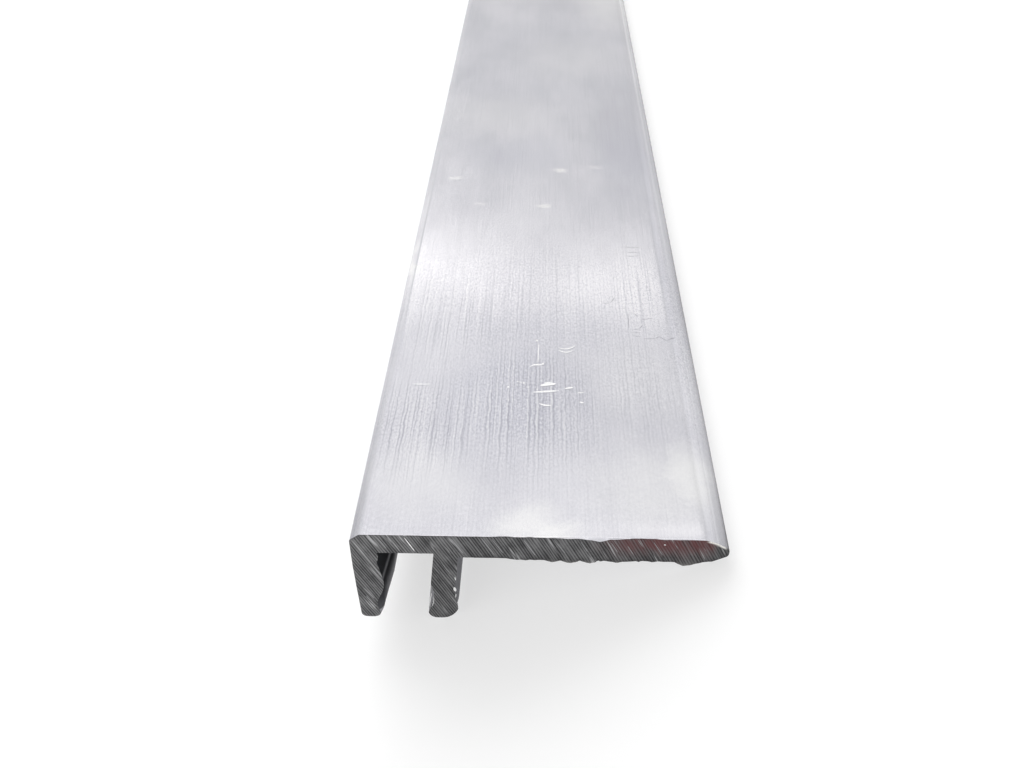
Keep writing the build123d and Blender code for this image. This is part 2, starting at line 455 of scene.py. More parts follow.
def makeBar():
    # the wall closed by the two sawn faces, the back one mirrored; sawn says which faces those are, and the
    # marks are levels at the points, the sides' painted shade among them
    moves, shades = {}, {}
    for end, cut, mirror in (("front", frontCut, (1, 1, 1)), ("back", backCut, (1, -1, 1))):
        move, burr = sawnFace(cut)
        moves[end] = move * mirror
        shades[end] = faceShades(cut, burr)
    base = gridPoints[ring]
    stations = barStations()
    wall = barWall(base, stations, moves)
    count = len(gridPoints)
    flat = dict(front=0.0, back=profile["length"])
    ends = [np.stack([gridPoints[:, 0], np.full(count, flat[end]), gridPoints[:, 1]], axis=1) + moves[end]
            for end in flat]
    points = np.concatenate(ends + [wall.reshape(-1, 3)])

    wallId = 2 * count + np.arange(wall.shape[0] * wall.shape[1]).reshape(wall.shape[:2])
    wallId = np.concatenate([ring[None], wallId, ring[None] + count])
    wallId = np.concatenate([wallId, wallId[:, :1]], axis=1)
    frontFaces = [quads(gridIds["flange"]), quads(gridIds["lip"])[:, ::-1], quads(gridIds["rib"])[:, ::-1]]
    frontFaces = np.concatenate(frontFaces)
    faces = np.concatenate([frontFaces, frontFaces[:, ::-1] + count, quads(wallId)[:, ::-1]])
    sawn = np.arange(len(faces)) < 2 * len(frontFaces)

    onWall = np.zeros(len(points) - 2 * count)
    marks = {name: np.concatenate([shades["front"][name], shades["back"][name], onWall])
             for name in shades["front"]}
    allStations = np.concatenate([[0], stations, [profile["length"]]])
    rows = paintedShadeRows(base, allStations, moves["front"][ring, 2])
    paintedShade = np.zeros(len(points))
    paintedShade[ring] = rows[0]
    paintedShade[ring + count] = rows[-1]
    paintedShade[2 * count:] = rows[1:-1].ravel()
    return points, faces, sawn, dict(marks, paintedShade=paintedShade)


sharpAngle = math.radians(38)  # an edge that turns more than this stays sharp


def makeObject(name, points, faces, materials, faceMaterial=None, attributes=None):
    # row-frame points and quads as a mesh object at the origin, smooth but for its sharp edges
    mesh = bpy.data.meshes.new(name)
    mesh.vertices.add(len(points))
    mesh.vertices.foreach_set("co", np.asarray(points, np.float32).ravel())
    mesh.loops.add(faces.size)
    mesh.loops.foreach_set("vertex_index", faces.astype(np.int32).ravel())
    mesh.polygons.add(len(faces))
    mesh.polygons.foreach_set("loop_start", np.arange(0, faces.size, faces.shape[1], dtype=np.int32))
    for material in materials:
        mesh.materials.append(material)
    if faceMaterial is not None:
        mesh.polygons.foreach_set("material_index", faceMaterial.astype(np.int32))
    for key, values in (attributes or {}).items():
        mesh.attributes.new(key, "FLOAT", "POINT").data.foreach_set("value", values.astype(np.float32))
    mesh.update(calc_edges=True)
    mesh.validate()
    mesh.polygons.foreach_set("use_smooth", np.ones(len(mesh.polygons), bool))
    mesh.set_sharp_from_angle(angle=sharpAngle)
    made = bpy.data.objects.new(name, mesh)
    bpy.context.scene.collection.objects.link(made)
    return made


class Nodes:
    # short calls for a material's or a world's nodes
    mixSockets = dict(share=0, first=6, second=7, result=2)  # the mix node's own, for colours
    waveRadians = 20  # the wave texture packs these into one unit of its scaled coordinate
    noiseMiddle = 0.5

    def __init__(self, tree):
        self.tree = tree
        tree.nodes.clear()

    def add(self, kind, inputs=None, **settings):
        # a node with its settings, its inputs fed by name or number
        made = self.tree.nodes.new(kind)
        for key, value in settings.items():
            setattr(made, key, value)
        for key, value in (inputs or {}).items():
            self.feed(made.inputs[key], value)
        return made

    def feed(self, socket, value):
        # an input takes a link from another node's output, or a plain value
        if isinstance(value, bpy.types.NodeSocket):
            self.tree.links.new(value, socket)
        else:
            socket.default_value = value

    def math(self, operation, first, second=0.0, third=0.0):
        # one operation on up to three levels
        return self.add("ShaderNodeMath", {0: first, 1: second, 2: third}, operation=operation).outputs[0]

    def vector(self, operation, first, second=(0.0, 0.0, 0.0), third=(0.0, 0.0, 0.0)):
        # one operation on up to three vectors
        return self.add("ShaderNodeVectorMath", {0: first, 1: second, 2: third}, operation=operation).outputs

    def weighted(self, *parts):
        # the sum of levels, each times its weight
        total = 0.0
        for level, weight in parts:
            total = self.math("MULTIPLY_ADD", level, weight, total)
        return total

    def stretched(self, vector, scale):
        # coordinates scaled along each axis
        return self.add("ShaderNodeMapping", {"Vector": vector, "Scale": scale}).outputs[0]

    def noise(self, vector, scale, detail, roughness):
        # the noise texture's grey level on stretched coordinates
        inputs = {"Vector": self.stretched(vector, scale), "Scale": 1.0,
                  "Detail": detail, "Roughness": roughness}
        return self.add("ShaderNodeTexNoise", inputs).outputs["Fac"]

    def wave(self, vector, stretch, pitch, distortion, detail, detailScale):
        # even bands across x, one to each pitch, pushed about by the texture's own noise
        scale = 2 * math.pi / self.waveRadians / pitch
        inputs = {"Vector": self.stretched(vector, stretch), "Scale": scale, "Distortion": distortion,
                  "Detail": detail, "Detail Scale": detailScale}
        return self.add("ShaderNodeTexWave", inputs, wave_type="BANDS", bands_direction="X").outputs["Fac"]

    def ranged(self, value, fromLow, fromHigh, toLow=0.0, toHigh=1.0):
        # a smooth step from one range of levels to another
        inputs = {"Value": value, "From Min": fromLow, "From Max": fromHigh,
                  "To Min": toLow, "To Max": toHigh}
        return self.add("ShaderNodeMapRange", inputs, interpolation_type="SMOOTHSTEP").outputs[0]

    def mix(self, share, first, second):
        # the first colour where the share is 0, the second where it is 1
        made = self.add("ShaderNodeMix", data_type="RGBA", blend_type="MIX")
        for key, value in dict(share=share, first=first, second=second).items():
            self.feed(made.inputs[self.mixSockets[key]], value)
        return made.outputs[self.mixSockets["result"]]

    def attribute(self, name):
        # a level that the mesh carries at its points
        return self.add("ShaderNodeAttribute", attribute_name=name).outputs["Fac"]

    def bumped(self, height, strength, distance):
        # a normal leaned by the slope of a height
        inputs = {"Strength": strength, "Distance": distance, "Height": height}
        return self.add("ShaderNodeBump", inputs).outputs[0]

    def surface(self, inputs):
        # one principled shader as the material's surface
        shader = self.add("ShaderNodeBsdfPrincipled", inputs).outputs[0]
        self.add("ShaderNodeOutputMaterial", {"Surface": shader})


def newMaterial(name):
    # an empty material and its nodes
    made = bpy.data.materials.new(name)
    made.use_nodes = True
    return made, Nodes(made.node_tree)


def sectionVector(nodes):
    # object coordinates turned back by the rest tilt, in millimetres: x across the face, y along the bar
    place = nodes.add("ShaderNodeTexCoord").outputs["Object"]
    shifted = nodes.vector("ADD", place, tuple(-sectionOrigin))[0]
    inputs = {"Vector": shifted, "Rotation": (0, -tilt, 0), "Scale": (1 / mm,) * 3}
    return nodes.add("ShaderNodeMapping", inputs).outputs[0]


# Mill finish of the drawn faces. A texture is its stretch across, along and down, its detail and its
# roughness; a wave is its stretch, pitch, distortion, detail and detail scale. A Weight is a texture's part
# in the plain tone, a Range where a level starts and stops and what it then goes from and to.
millFinish = dict(
    light=(0.88, 0.876, 0.925, 1), dark=(0.73, 0.727, 0.785, 1), pale=(0.99, 0.988, 1.0, 1),
    # lineDark and lineLight paint the shade and highlight of the peel's pits and glints and of the die lines
    cool=(0.66, 0.665, 0.75, 1), lineDark=(0.43, 0.43, 0.5, 1), lineLight=(0.95, 0.95, 0.97, 1),
    # shadowed is the near black of the sides' painted shade
    shadowed=(0.03, 0.031, 0.034, 1),
    fineLines=((5.0, 0.14, 5.0), 2.0, 0.5), fineWeight=0.36,
    bands=((0.3, 0.008, 0.3), 2.0, 0.5), bandWeight=0.12,
    clouds=((0.07, 0.032, 0.07), 3.0, 0.5), cloudWeight=1.67,
    mottle=((4.0, 2.2, 4.0), 2.0, 0.6), mottleWeight=0.6, toneRange=(0.95, 1.8),
    dieLines=((5.8, 0.032, 5.8), 1.0, 0.4), dieWave=((1.0, 0.03, 0.0), 0.48, 6.0, 1.0, 0.5), waveShare=0.2,
    wobble=((1.1, 0.4, 1.1), 1.0, 0.5), wobbleReach=0.4,
    broken=((0.9, 0.08, 0.9), 1.0, 0.5), brokenRange=(0.25, 0.58, 0.3, 1.0), plainLines=0.09,
    darkLineRange=(0.35, 0.46, 0.78, 0.0), lightLineRange=(0.56, 0.67, 0.0, 0.66),
    peel=((4.2, 2.3, 4.2), 2.0, 0.65), plainPeel=0.08, pitRange=(0.36, 0.52, 0.52, 0.0),
    glintRange=(0.52, 0.68, 0.0, 0.8), shineRange=(0.25, 0.65, 0.9, 1.0),
    roughRange=(0.3, 0.7, 0.14, 0.18), metalRange=(0.3, 1.0, 1.0, 0.0), bumpStrength=0.4, bumpHeight=0.000008,
)

# Patches on the broad face: pale ones of painted sheen and glints, bluer ones, and ones with deeper die lines
# or with more peel than the rest: (x, y, reach across, reach along, strength). Their outlines stray by two
# noises of (scale, reach).
facePatches = dict(
    pale=((18.6, 2.4, 6.0, 4.0, 0.85), (21.0, 1.2, 4.6, 3.2, 1.0), (36.7, 9.8, 4.6, 8.4, 1.0),
          (22.3, 89.0, 2.2, 1.9, 0.9), (19.8, 74.9, 1.5, 1.7, 0.85), (5.2, 85.2, 1.1, 1.7, 0.55),
          (29.5, 90.2, 2.2, 1.2, 0.35), (9.7, 75.2, 2.0, 1.4, 0.35), (33.0, 8.0, 11.0, 11.0, 0.6),
          (25.0, 146.0, 18.0, 20.0, 0.3), (10.0, 114.0, 16.0, 14.0, 0.32), (36.0, 190.0, 10.0, 36.0, 0.7),
          (7.0, 9.0, 10.0, 10.0, 0.45), (0.6, 57.0, 1.4, 9.0, 0.8), (33.0, 27.0, 9.0, 13.0, 0.22)),
    cool=((17.0, 24.0, 12.0, 17.0, 0.62), (35.0, 94.0, 9.0, 22.0, 0.4), (16.0, 95.0, 14.0, 12.0, 0.35),
          (12.0, 15.0, 8.0, 9.0, 0.25), (20.0, 150.0, 30.0, 45.0, 0.25), (19.0, 38.0, 22.0, 9.0, 0.22)),
    deepLines=((18.0, 23.0, 12.0, 16.0, 0.8), (33.5, 48.0, 5.5, 15.0, 0.36), (6.0, 18.0, 9.0, 13.0, 0.75),
               (32.5, 28.0, 6.5, 14.0, 0.26), (20.0, 45.0, 18.0, 20.0, 0.2), (8.0, 42.0, 12.0, 16.0, 0.34)),
    peel=((18.0, 23.0, 13.0, 17.0, 0.7), (33.5, 48.0, 6.5, 16.0, 0.55), (6.0, 18.0, 9.0, 13.0, 0.5),
          (32.0, 28.0, 8.0, 14.0, 0.34), (18.0, 47.0, 30.0, 24.0, 0.46), (38.9, 38.0, 2.8, 30.0, 0.6)),
    core=0.15, stray=((0.16, 5.0), (0.9, 1.1)), strayDetail=1.0,
)


def looseVector(nodes, section):
    # section coordinates strayed sideways and along by a coarse and a fine noise, for uneven outlines
    for scale, reach in facePatches["stray"]:
        inputs = {"Vector": section, "Scale": scale, "Detail": facePatches["strayDetail"]}
        noise = nodes.add("ShaderNodeTexNoise", inputs).outputs["Color"]
        centred = nodes.vector("SUBTRACT", noise, (nodes.noiseMiddle,) * 3)[0]
        section = nodes.vector("MULTIPLY_ADD", centred, (reach,) * 3, section)[0]
    return section


def softPatches(nodes, loose, name):
    # the strongest of the patches at each point: full in a patch's core, falling to 0 at its reach
    level = None
    for x, y, reachX, reachY, strength in facePatches[name]:
        shifted = nodes.vector("SUBTRACT", loose, (x, y, 0))[0]
        scaled = nodes.stretched(shifted, (1 / reachX, 1 / reachY, 0))
        away = nodes.vector("LENGTH", scaled)["Value"]
        here = nodes.ranged(away, facePatches["core"], 1.0, strength, 0.0)
        level = here if level is None else nodes.math("MAXIMUM", level, here)
    return level


def dieLevel(nodes, section):
    # die lines: a noise drawn out along the bar and a share of an even wave, both wobbling sideways
    look = millFinish
    wobble = nodes.math("SUBTRACT", nodes.noise(section, *look["wobble"]), nodes.noiseMiddle)
    sideways = nodes.math("MULTIPLY", wobble, look["wobbleReach"])
    wavy = nodes.vector("ADD", section, nodes.add("ShaderNodeCombineXYZ", {0: sideways}).outputs[0])[0]
    drawnOut = nodes.noise(wavy, *look["dieLines"])
    even = nodes.wave(wavy, *look["dieWave"])
    return nodes.weighted((drawnOut, 1 - look["waveShare"]), (even, look["waveShare"]))


def millMaterial():
    # a plain tone of fine lines, bands, clouds and a mottle; over it cool patches, an orange peel of painted
    # shade in pits and painted glints, the die lines' crests and troughs as painted highlight and shade,
    # deeper in some patches, and pale patches of painted sheen; where shade is painted the sides go near
    # black and matt
    look = millFinish
    material, nodes = newMaterial("millFinish")
    section = sectionVector(nodes)
    loose = looseVector(nodes, section)
    textures = ("fineLines", "bands", "clouds", "mottle")
    fine, bands, clouds, mottle = (nodes.noise(section, *look[k]) for k in textures)
    tone = nodes.weighted((clouds, look["cloudWeight"]), (bands, look["bandWeight"]),
                          (fine, look["fineWeight"]), (mottle, look["mottleWeight"]))
    colour = nodes.mix(nodes.ranged(tone, *look["toneRange"]), look["dark"], look["light"])
    colour = nodes.mix(softPatches(nodes, loose, "cool"), colour, look["cool"])

    peel = nodes.noise(section, *look["peel"])
    rough = nodes.math("ADD", softPatches(nodes, loose, "peel"), look["plainPeel"])
    # painted shade in the pits and painted glints
    pits = nodes.math("MULTIPLY", rough, nodes.ranged(peel, *look["pitRange"]))
    glints = nodes.math("MULTIPLY", rough, nodes.ranged(peel, *look["glintRange"]))
    colour = nodes.mix(pits, colour, look["lineDark"])
    colour = nodes.mix(glints, colour, look["lineLight"])

    die = dieLevel(nodes, section)
    depth = nodes.math("ADD", softPatches(nodes, loose, "deepLines"), look["plainLines"])
    gaps = nodes.ranged(nodes.noise(section, *look["broken"]), *look["brokenRange"])
    broken = nodes.math("MULTIPLY", depth, gaps)
    # painted highlight on the die lines' crests and painted shade in their troughs
    lightLines = nodes.math("MULTIPLY", broken, nodes.ranged(die, *look["lightLineRange"]))
    darkLines = nodes.math("MULTIPLY", broken, nodes.ranged(die, *look["darkLineRange"]))
    colour = nodes.mix(lightLines, colour, look["lineLight"])
    colour = nodes.mix(darkLines, colour, look["lineDark"])

    # painted sheen and glints in the pale patches
    mottled = nodes.ranged(mottle, *look["shineRange"])
    shine = nodes.math("MULTIPLY", softPatches(nodes, loose, "pale"), mottled)
    colour = nodes.mix(shine, colour, look["pale"])
    # painted shade from the mesh: towards 1 the face goes near black and matt
    paintedShade = nodes.attribute("paintedShade")
    height = nodes.math("MULTIPLY_ADD", mottle, look["mottleWeight"], fine)
    nodes.surface({
        "Base Color": nodes.mix(paintedShade, colour, look["shadowed"]),
        "Roughness": nodes.ranged(mottle, *look["roughRange"]),
        "Metallic": nodes.ranged(paintedShade, *look["metalRange"]),
        "Specular IOR Level": 0.0,
        "Normal": nodes.bumped(height, look["bumpStrength"], look["bumpHeight"]),
    })
    return material


# Sawn faces: metal painted dark with shade, with lighter blade marks, and red paint left on one corner.
# Textures, weights and ranges are written as for the mill finish.
sawFinish = dict(
    cutShadeDark=(0.048, 0.048, 0.05, 1), mark=(0.27, 0.27, 0.275, 1), bright=(0.55, 0.55, 0.56, 1),
    red=(0.155, 0.05, 0.052, 1), fleckAndHighlight=(0.95, 0.93, 0.89, 1),
    fineMarks=((3.0, 0, 0.2), 2.0, 0.5), fineWeight=0.75, marks=((1.3, 0, 0.14), 2.0, 0.5), markWeight=0.5,
    teeth=((1.0, 0.0, 0.12), 0.29, 3.0, 2.0, 0.7), teethWeight=0.34, scores=((3.1, 0, 0.24), 1.0, 0.5),
    smudge=((0.5, 0.5, 0.5), 3.0, 0.5), smudgeWeight=0.5, grain=((4.0, 4.0, 4.0), 3.0, 0.6), grainWeight=0.3,
    toneRange=(0.87, 1.64), rimShare=0.55,
    stainRange=(0.75, 1.15, 0.15, 0.8), scoreRange=(0.62, 0.74, 0.0, 0.7),
    fleckRange=(0.3, 0.5, 0.5, 1.0), roughRange=(0.3, 0.7, 0.38, 0.55), bumpStrength=0.5, bumpHeight=0.00002,
)


def sawMaterial():
    # blade marks are noise drawn out along the blade's path, with the even marks of its teeth, on metal
    # painted dark with shade; the mesh carries the paint, the bright flecks with a painted highlight and a
    # rim of painted shade
    look = sawFinish
    material, nodes = newMaterial("sawnFace")
    section = sectionVector(nodes)
    lean = (0, math.pi / 2 - frontCut["markLean"], 0)
    blade = nodes.add("ShaderNodeMapping", {"Vector": section, "Rotation": lean}).outputs[0]
    fine, marks, scores = (nodes.noise(blade, *look[k]) for k in ("fineMarks", "marks", "scores"))
    smudge, grain = (nodes.noise(section, *look[k]) for k in ("smudge", "grain"))
    teeth = nodes.wave(blade, *look["teeth"])
    tone = nodes.weighted((grain, look["grainWeight"]), (smudge, look["smudgeWeight"]),
                          (marks, look["markWeight"]), (fine, look["fineWeight"]),
                          (teeth, look["teethWeight"]))
    # the face's dark tone is painted shade
    colour = nodes.mix(nodes.ranged(tone, *look["toneRange"]), look["cutShadeDark"], look["mark"])
    # painted shade along the rim
    rimShade = nodes.math("MULTIPLY", nodes.attribute("rimShade"), look["rimShare"])
    colour = nodes.mix(rimShade, colour, look["cutShadeDark"])
    patchy = nodes.ranged(nodes.math("ADD", smudge, marks), *look["stainRange"])
    colour = nodes.mix(nodes.math("MULTIPLY", nodes.attribute("paint"), patchy), colour, look["red"])
    colour = nodes.mix(nodes.ranged(scores, *look["scoreRange"]), colour, look["bright"])
    # bright flecks on the burrs and a painted highlight along the bevel's crest
    flecksAndHighlight = nodes.math("MULTIPLY", nodes.attribute("flecksAndHighlight"), nodes.ranged(grain, *look["fleckRange"]))
    nodes.surface({
        "Base Color": nodes.mix(flecksAndHighlight, colour, look["fleckAndHighlight"]),
        "Roughness": nodes.ranged(grain, *look["roughRange"]),
        "Metallic": 1.0,
        "Normal": nodes.bumped(grain, look["bumpStrength"], look["bumpHeight"]),
    })
    return material


points, faces, sawn, attributes = makeBar()
bar = makeObject("profileBar", toRow(points), faces, [millMaterial(), sawMaterial()], sawn, attributes)
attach(bar, "root")
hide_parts("aluminium_profile")
print("bar of", len(faces) * 2, "triangles")

# Scratches that show raw metal, in section millimetres: (x, y) to (x, y) on the broad face, with their half
# width and how far they bow sideways; crackle has one half width. The blade's deepest scores on the sawn
# end and the bright bits of its burrs are (x, z) to (x, z), at endDepth inside the uncut end.
scratches = dict(
    face=((18.9, 24.82, 22.5, 25.21, 0.17, 0.0), (19.95, 26.23, 22.0, 26.66, 0.3, 0.0),
          (20.4, 26.75, 21.5, 26.95, 0.1, 0.0), (3.8, 26.3, 6.4, 26.33, 0.1, 0.08),
          (22.95, 25.64, 24.05, 25.9, 0.16, 0.0), (19.8, 22.6, 21.4, 22.25, 0.16, 0.15),
          (24.8, 22.94, 25.3, 22.77, 0.13, 0.0), (18.54, 30.15, 19.1, 30.62, 0.08, 0.0),
          (18.9, 30.59, 20.2, 30.7, 0.17, 0.0), (19.3, 36.05, 19.6, 36.1, 0.22, 0.0),
          (17.75, 26.73, 18.05, 26.75, 0.2, 0.0), (20.15, 30.84, 20.4, 30.86, 0.18, 0.0),
          (15.8, 25.83, 16.1, 25.85, 0.16, 0.0), (22.15, 34.5, 24.5, 35.0, 0.1, 0.5),
          (22.2, 34.0, 24.2, 33.96, 0.1, 0.5), (19.67, 35.4, 19.62, 30.9, 0.06, 0.0),
          (16.9, 27.02, 17.75, 26.75, 0.07, 0.0), (24.58, 24.82, 25.4, 24.84, 0.07, 0.0)),
    crackle=((33.6, 36.7, 35.2, 36.8), (35.2, 36.8, 35.7, 37.3), (35.7, 37.3, 36.6, 36.3),
             (36.6, 36.3, 37.9, 37.3), (31.9, 43.1, 32.7, 42.9), (32.7, 42.9, 33.3, 42.0),
             (31.9, 43.1, 31.8, 39.0), (32.2, 38.8, 33.3, 39.1), (33.3, 39.1, 33.7, 40.0),
             (33.6, 41.3, 35.2, 41.7), (31.9, 38.3, 33.3, 38.2), (32.3, 37.4, 33.2, 37.2),
             (28.6, 45.3, 29.6, 45.5), (29.6, 45.5, 30.3, 47.0), (31.1, 44.2, 31.8, 44.1),
             (32.7, 59.9, 34.9, 59.7), (32.4, 58.6, 34.7, 58.8), (31.3, 61.5, 35.0, 61.3)),
    crackleWidth=0.07,
    end=((4.6, -0.9, 5.3, -2.4, 0.05, 0.0), (14.0, -0.2, 15.4, -2.8, 0.05, 0.0),
         (18.4, -0.3, 19.8, -2.9, 0.06, 0.0), (15.1, -0.3, 16.3, -2.5, 0.04, 0.0),
         (29.3, -1.0, 30.2, -2.7, 0.05, 0.0), (34.2, -0.6, 35.4, -2.8, 0.055, 0.0),
         (1.0, -9.6, 2.0, -11.4, 0.05, 0.0), (0.9, -8.3, 1.9, -10.0, 0.04, 0.0),
         (21.6, -0.3, 22.9, -2.4, 0.04, 0.0), (37.2, -1.0, 37.7, -1.9, 0.04, 0.0),
         (3.0, -0.3, 3.9, -2.0, 0.035, 0.0), (9.6, -4.0, 10.6, -6.0, 0.035, 0.0),
         (24.4, -0.5, 25.6, -2.8, 0.035, 0.0), (27.6, -0.6, 28.8, -2.9, 0.04, 0.0),
         (32.0, -0.4, 33.1, -2.4, 0.035, 0.0), (10.8, -0.3, 12.1, -2.7, 0.035, 0.0)),
    burr=((5.9, -0.3, 6.9, -2.4, 0.055, 0.0), (8.32, -8.9, 7.95, -11.3, 0.035, 0.05),
          (8.5, -9.4, 8.2, -11.2, 0.03, -0.1), (10.85, -7.9, 10.95, -8.6, 0.15, 0.0),
          (10.98, -6.3, 11.05, -6.8, 0.06, 0.0), (11.0, -9.0, 10.9, -9.6, 0.045, 0.0),
          (33.1, -0.75, 33.3, -0.82, 0.07, 0.0)),
    height=0.007, steps=13, pinch=0.4, pinchLeast=0.05, endDepth=0.008, shadeOffset=0.3, shadeWidth=0.5,
    rawMetal=(1, 1, 1, 1), scratchShade=(0.45, 0.45, 0.49, 1), scoreMetal=(0.36, 0.36, 0.37, 1),
    burrMetal=(0.9, 0.9, 0.9, 1), roughness=0.4,
)


def strokeTubes(starts, stops, outwards, halfWidth, bow, follow=None):
    # thin ridges: a diamond section carried from start to stop, bowed sideways by a half sine, pinched at
    # both ends, and laid on the surface that follow gives
    heading = (stops - starts) / np.linalg.norm(stops - starts, axis=1, keepdims=True)
    sideways = np.cross(heading, outwards)
    along = np.linspace(0, 1, scratches["steps"])[None, :, None]
    half = np.sin(math.pi * along)
    middle = starts[:, None] + (stops - starts)[:, None] * along
    middle = middle + sideways[:, None] * bow[:, None, None] * half
    if follow:
        middle[:, :, 2] = follow(middle[:, :, 0], middle[:, :, 1])
    pinch = np.maximum(half ** scratches["pinch"], scratches["pinchLeast"])
    width = halfWidth[:, None, None] * pinch
    height = scratches["height"] * pinch
    rings = np.stack([middle - sideways[:, None] * width, middle + outwards[:, None] * height,
                      middle + sideways[:, None] * width, middle - outwards[:, None] * height], axis=2)
    ids = np.arange(rings.shape[0] * rings.shape[1] * rings.shape[2]).reshape(rings.shape[:3])
    around = np.roll(ids, -1, axis=2)
    sides = np.stack([ids[:, :-1], around[:, :-1], around[:, 1:], ids[:, 1:]], axis=-1).reshape(-1, 4)
    ends = np.concatenate([ids[:, 0, ::-1], ids[:, -1]])
    return rings.reshape(-1, 3), np.concatenate([sides, ends])


def faceStrokes(rows):
    # strokes that ride on the uneven broad face
    startX, startY, stopX, stopY, halfWidth, bow = rows.T
    starts = np.stack([startX, startY, faceHeight(startX, startY)], axis=1)
    stops = np.stack([stopX, stopY, faceHeight(stopX, stopY)], axis=1)
    up = np.tile((0.0, 0.0, 1.0), (len(rows), 1))
    return strokeTubes(starts, stops, up, halfWidth, bow, faceHeight)


def endStrokes(rows):
    # strokes on the sawn face
    startX, startZ, stopX, stopZ, halfWidth, bow = rows.T
    depth = np.full(len(rows), scratches["endDepth"])
    starts = np.stack([startX, depth, startZ], axis=1)
    stops = np.stack([stopX, depth, stopZ], axis=1)
    out = np.tile((0.0, -1.0, 0.0), (len(rows), 1))
    return strokeTubes(starts, stops, out, halfWidth, bow)


def plainMetal(name):
    # one even metal, its colour kept under its own name
    material, nodes = newMaterial(name)
    nodes.surface({"Base Color": scratches[name], "Roughness": scratches["roughness"], "Metallic": 1.0})
    return material


def makeScratches():
    # raw metal in the scratches, their shaded side a little nearer the sawn end, and duller scores on that
    # end
    s = scratches
    cuts = np.array(s["face"])
    shaded = cuts - np.array([0, 1, 0, 1, 0, 0]) * s["shadeOffset"]
    shaded[:, 4] *= s["shadeWidth"]
    crackle = np.array(s["crackle"])
    crackle = np.concatenate([crackle, np.tile((s["crackleWidth"], 0.0), (len(crackle), 1))], axis=1)
    groups = dict(
        rawMetal=faceStrokes(cuts),
        scratchShade=faceStrokes(np.concatenate([shaded, crackle])),
        scoreMetal=endStrokes(np.array(s["end"])),
        burrMetal=endStrokes(np.array(s["burr"])),
    )
    strokePoints, strokeFaces = zip(*groups.values())
    shift = np.cumsum([0] + [len(points) for points in strokePoints])
    points = np.concatenate(strokePoints)
    faces = np.concatenate([faces + start for faces, start in zip(strokeFaces, shift)])
    metal = np.concatenate([np.full(len(faces), number) for number, faces in enumerate(strokeFaces)])
    made = makeObject("scratchMarks", toRow(points), faces, [plainMetal(name) for name in groups], metal)
    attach(made, "root")
    print("scratches of", len(faces) * 2, "triangles")


makeScratches()

# Floor and sky. The sky is white to the camera; in the metal it is skyLow at the horizon and skyHigh above,
# with skyLeft added at the left and skyRight low at the right; the matt floor's light is strongest along
# backAim. A pair is where a smooth step over the direction's X, its Z or its nearness to backAim starts and
# stops.
studio = dict(
    white=(1, 1, 1, 1), floorSize=30.0, floorColour=(0.94, 0.94, 0.94, 1), floorGlow=0.6,
    skyLow=0.63, skyHigh=0.82, skyRise=(0.3, 0.75), skyLeft=0.08, leftOf=(-0.55, -0.25),
    skyRight=0.2, rightOf=(0.25, 0.45), rightUnder=(0.3, 0.5),
    backAim=(-0.3, 0.94, 0.17), backLight=9.0, frontLight=0.62, backFrom=(0.65, 1.0),
)

# Softboxes: what they face in section millimetres, how far aside in metres, elevation in degrees, distance,
# width and height in metres, radiance. The panes show as one soft band across the face, chamferPane carries
# it on over the chamfer.
lampColour = (1.0, 0.965, 0.885)
bandPlace = (20.0, 55.0, 0.0)
lamps = dict(
    pane0=(bandPlace, -0.3, 30.2, 2.2, 0.16, 0.08, 1.25),
    pane1=(bandPlace, -0.18, 30.7, 2.2, 0.08, 0.08, 1.1),
    pane2=(bandPlace, -0.09, 31.2, 2.2, 0.1, 0.08, 0.95),
    pane3=(bandPlace, 0.02, 31.3, 2.2, 0.12, 0.08, 0.6),
    pane4=(bandPlace, 0.22, 31.2, 2.2, 0.28, 0.08, 0.74),
    chamferPane=(bandPlace, -1.32, 2.0, 2.2, 0.24, 0.2, 0.22),
    softboxAbove=((20.0, 0.0, 0.0), 0.0, 56.0, 2.0, 1.6, 0.6, 0.3),
)


def makeFloor():
    # a wide square under the bar that shows pale to the camera and in the metal, and keeps a soft shadow
    size = studio["floorSize"] / 2
    corners = np.array([(-size, -size, 0), (size, -size, 0), (size, size, 0), (-size, size, 0)])
    material, nodes = newMaterial("paleFloor")
    path = nodes.add("ShaderNodeLightPath").outputs
    seen = nodes.math("MAXIMUM", path["Is Glossy Ray"], path["Is Transmission Ray"])
    seen = nodes.math("MAXIMUM", path["Is Camera Ray"], seen)
    matt = nodes.add("ShaderNodeBsdfDiffuse", {"Color": studio["floorColour"]}).outputs[0]
    glow = nodes.add("ShaderNodeEmission", {"Color": studio["white"], "Strength": 1.0}).outputs[0]
    share = nodes.math("MULTIPLY", seen, studio["floorGlow"])
    both = nodes.add("ShaderNodeMixShader", {0: share, 1: matt, 2: glow}).outputs[0]
    nodes.add("ShaderNodeOutputMaterial", {"Surface": both})
    floor = makeObject("floor", corners, np.array([[0, 1, 2, 3]]), [material])


